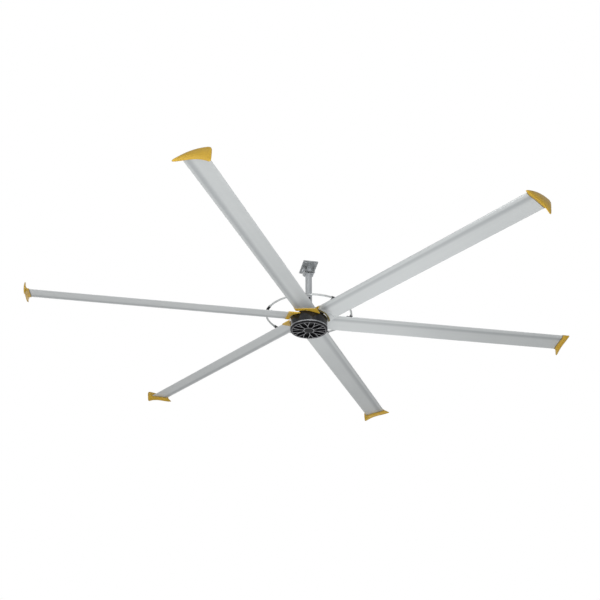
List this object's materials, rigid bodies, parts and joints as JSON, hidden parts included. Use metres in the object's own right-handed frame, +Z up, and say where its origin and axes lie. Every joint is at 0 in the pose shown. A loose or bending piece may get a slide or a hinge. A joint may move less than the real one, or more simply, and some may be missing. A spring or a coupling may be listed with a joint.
{
  "type": "ceiling fan",
  "caption": "Large six-blade industrial ceiling fan with yellow winglets and root caps, hung on a short downrod from a swivel bracket.",
  "frame": {"origin": "centre of the ceiling plate's top face, where it meets the building", "axes": "+Z up along the downrod, +X along blade 1, +Y along the ceiling plate's long side"},
  "size_m": [4.9192, 4.3996, 0.66],
  "materials": {
    "bracket_paint": "dark grey powder coat",
    "zinc_steel": "zinc plated",
    "downrod_paint": "light grey paint, satin",
    "black_bolt": "black oxide",
    "bronze": "oiled bronze",
    "ground_steel": "ground",
    "rubber_black": "matt",
    "cast_aluminium": "as cast",
    "core_steel": "laminated, coated",
    "copper_wire": "enamelled copper winding",
    "magnet_plate": "nickel plated",
    "drum_gloss": "gloss black",
    "cover_black": "satin black",
    "bright_trim": "polished",
    "blade_silver": "anodised, satin",
    "cap_yellow": "moulded, satin",
    "clamp_black": "satin black",
    "ring_grey": "light grey, satin"
  },
  "bodies": {
    "ceiling_bracket": {"ceiling_plate": "bracket_paint", "clevis_ears": "bracket_paint", "clevis_pins": "zinc_steel"},
    "gimbal": {"gimbal_block": "bracket_paint", "gimbal_bushes": "bronze"},
    "downrod": {"yoke": "downrod_paint", "yoke_pins": "zinc_steel", "downrod": "downrod_paint", "downrod_bolts": "black_bolt", "downrod_nuts": "black_bolt", "spindle": "ground_steel", "cable_grommet": "rubber_black", "stator_carrier": "cast_aluminium", "stator_core": "core_steel", "stator_coils": "copper_wire", "bearing_inner_rings": "ground_steel", "catch_disc": "ground_steel", "lock_nut": "ground_steel"},
    "rotor": {"rotor_drum": "drum_gloss", "back_iron": "core_steel", "magnets": "magnet_plate", "clamp_plate": "zinc_steel", "blade_arms": "zinc_steel", "arm_bolts": "zinc_steel", "shaft_seal": "rubber_black", "bearing_outer_rings": "ground_steel", "bearing_balls": "ground_steel", "finned_cover": "cover_black", "trim_ring": "bright_trim", "centre_cap": "cover_black", "cover_screws": "black_bolt", "blade_bolts": "zinc_steel", "trim_screws": "zinc_steel", "ring_clamps": "clamp_black", "blade_1": "blade_silver", "blade_2": "blade_silver", "blade_3": "blade_silver", "blade_4": "blade_silver", "blade_5": "blade_silver", "blade_6": "blade_silver", "winglet_1": "cap_yellow", "winglet_2": "cap_yellow", "winglet_3": "cap_yellow", "winglet_4": "cap_yellow", "winglet_5": "cap_yellow", "winglet_6": "cap_yellow", "root_cap_1": "cap_yellow", "root_cap_2": "cap_yellow", "root_cap_3": "cap_yellow", "root_cap_4": "cap_yellow", "root_cap_5": "cap_yellow", "root_cap_6": "cap_yellow", "ring_segment_1": "ring_grey", "ring_segment_2": "ring_grey", "ring_segment_3": "ring_grey", "ring_segment_4": "ring_grey", "ring_segment_5": "ring_grey", "ring_segment_6": "ring_grey"}
  },
  "joints": [
    {"name": "gimbal_swing", "type": "hinge", "parent": "ceiling_bracket", "child": "gimbal", "pos_m": [0, 0, -0.044], "axis": [0, 1, 0], "range_deg": [-8, 8]},
    {"name": "downrod_swing", "type": "hinge", "parent": "gimbal", "child": "downrod", "pos_m": [0, 0, -0.044], "axis": [1, 0, 0], "range_deg": [-8, 8]},
    {"name": "rotor_spin", "type": "hinge", "parent": "downrod", "child": "rotor", "pos_m": [0, 0, -0.54], "axis": [0, 0, 1], "continuous": true}
  ]
}
